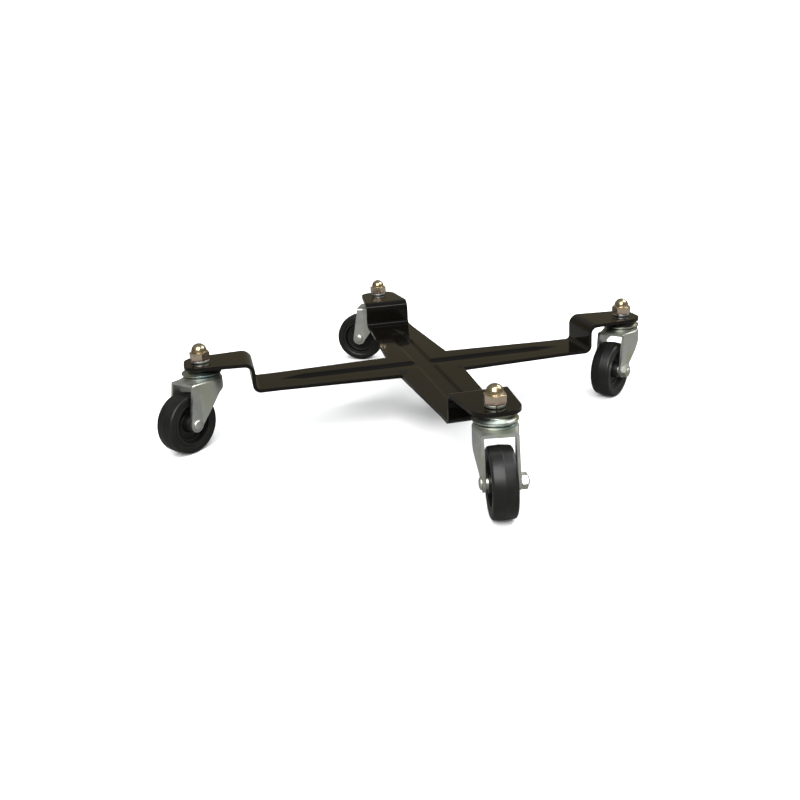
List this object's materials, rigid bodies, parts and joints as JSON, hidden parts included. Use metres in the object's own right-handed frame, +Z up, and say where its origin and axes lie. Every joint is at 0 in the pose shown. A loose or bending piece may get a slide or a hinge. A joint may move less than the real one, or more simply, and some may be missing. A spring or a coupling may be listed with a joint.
{
  "type": "motorcycle cross dolly",
  "caption": "Low steel cross with a lowered grooved centre and raised flanged ends, each end carried on a swivel caster held by a domed nut.",
  "frame": {"origin": "on the floor, under the middle of the bounding box", "axes": "+X along the long bar towards its right caster, +Y along the half bars towards the back caster, +Z up from the floor"},
  "size_m": [0.5642, 0.5872, 0.1126],
  "materials": {
    "black_paint": "high-gloss black paint",
    "bright_zinc": "bright zinc plate",
    "yellow_zinc": "yellow passivated zinc plate",
    "bearing_steel": "polished steel",
    "black_rubber": "satin black rubber",
    "black_plastic": "moulded black plastic"
  },
  "bodies": {
    "frame": {"long_bar": "black_paint", "front_arm": "black_paint", "back_arm": "black_paint", "weld_front_left": "black_paint", "weld_front_right": "black_paint", "weld_back_left": "black_paint", "weld_back_right": "black_paint", "front_stem_nut": "yellow_zinc", "front_spring_washer": "yellow_zinc", "front_stem": "bright_zinc", "front_top_race": "bright_zinc", "front_ball_ring": "bearing_steel", "left_stem_nut": "yellow_zinc", "left_spring_washer": "yellow_zinc", "left_stem": "bright_zinc", "left_top_race": "bright_zinc", "left_ball_ring": "bearing_steel", "right_stem_nut": "yellow_zinc", "right_spring_washer": "yellow_zinc", "right_stem": "bright_zinc", "right_top_race": "bright_zinc", "right_ball_ring": "bearing_steel", "back_stem_nut": "yellow_zinc", "back_spring_washer": "yellow_zinc", "back_stem": "bright_zinc", "back_top_race": "bright_zinc", "back_ball_ring": "bearing_steel"},
    "front_swivel": {"front_fork": "bright_zinc", "front_lower_race": "bright_zinc", "front_axle_bolt": "bright_zinc", "front_axle_nut": "bright_zinc", "front_axle_sleeve": "bright_zinc"},
    "front_wheel": {"front_tyre": "black_rubber", "front_wheel_core": "black_plastic"},
    "left_swivel": {"left_fork": "bright_zinc", "left_lower_race": "bright_zinc", "left_axle_bolt": "bright_zinc", "left_axle_nut": "bright_zinc", "left_axle_sleeve": "bright_zinc"},
    "left_wheel": {"left_tyre": "black_rubber", "left_wheel_core": "black_plastic"},
    "right_swivel": {"right_fork": "bright_zinc", "right_lower_race": "bright_zinc", "right_axle_bolt": "bright_zinc", "right_axle_nut": "bright_zinc", "right_axle_sleeve": "bright_zinc"},
    "right_wheel": {"right_tyre": "black_rubber", "right_wheel_core": "black_plastic"},
    "back_swivel": {"back_fork": "bright_zinc", "back_lower_race": "bright_zinc", "back_axle_bolt": "bright_zinc", "back_axle_nut": "bright_zinc", "back_axle_sleeve": "bright_zinc"},
    "back_wheel": {"back_tyre": "black_rubber", "back_wheel_core": "black_plastic"}
  },
  "joints": [
    {"name": "front_swivel_turn", "type": "hinge", "parent": "frame", "child": "front_swivel", "pos_m": [0.01509, -0.23332, 0.0794], "axis": [0, 0, 1], "continuous": true},
    {"name": "front_wheel_spin", "type": "hinge", "parent": "front_swivel", "child": "front_wheel", "pos_m": [0.00975, -0.26081, 0.0325], "axis": [0.9816, -0.1908, 0], "continuous": true},
    {"name": "left_swivel_turn", "type": "hinge", "parent": "frame", "child": "left_swivel", "pos_m": [-0.23091, 0.01268, 0.0794], "axis": [0, 0, 1], "continuous": true},
    {"name": "left_wheel_spin", "type": "hinge", "parent": "left_swivel", "child": "left_wheel", "pos_m": [-0.25172, -0.00606, 0.0325], "axis": [0.6691, -0.7431, 0], "continuous": true},
    {"name": "right_swivel_turn", "type": "hinge", "parent": "frame", "child": "right_swivel", "pos_m": [0.26109, 0.01268, 0.0794], "axis": [0, 0, 1], "continuous": true},
    {"name": "right_wheel_spin", "type": "hinge", "parent": "right_swivel", "child": "right_wheel", "pos_m": [0.23933, -0.00494, 0.0325], "axis": [0.6293, -0.7771, 0], "continuous": true},
    {"name": "back_swivel_turn", "type": "hinge", "parent": "frame", "child": "back_swivel", "pos_m": [0.01509, 0.25868, 0.0794], "axis": [0, 0, 1], "continuous": true},
    {"name": "back_wheel_spin", "type": "hinge", "parent": "back_swivel", "child": "back_wheel", "pos_m": [-0.01068, 0.26962, 0.0325], "axis": [-0.3907, -0.9205, 0], "continuous": true}
  ]
}
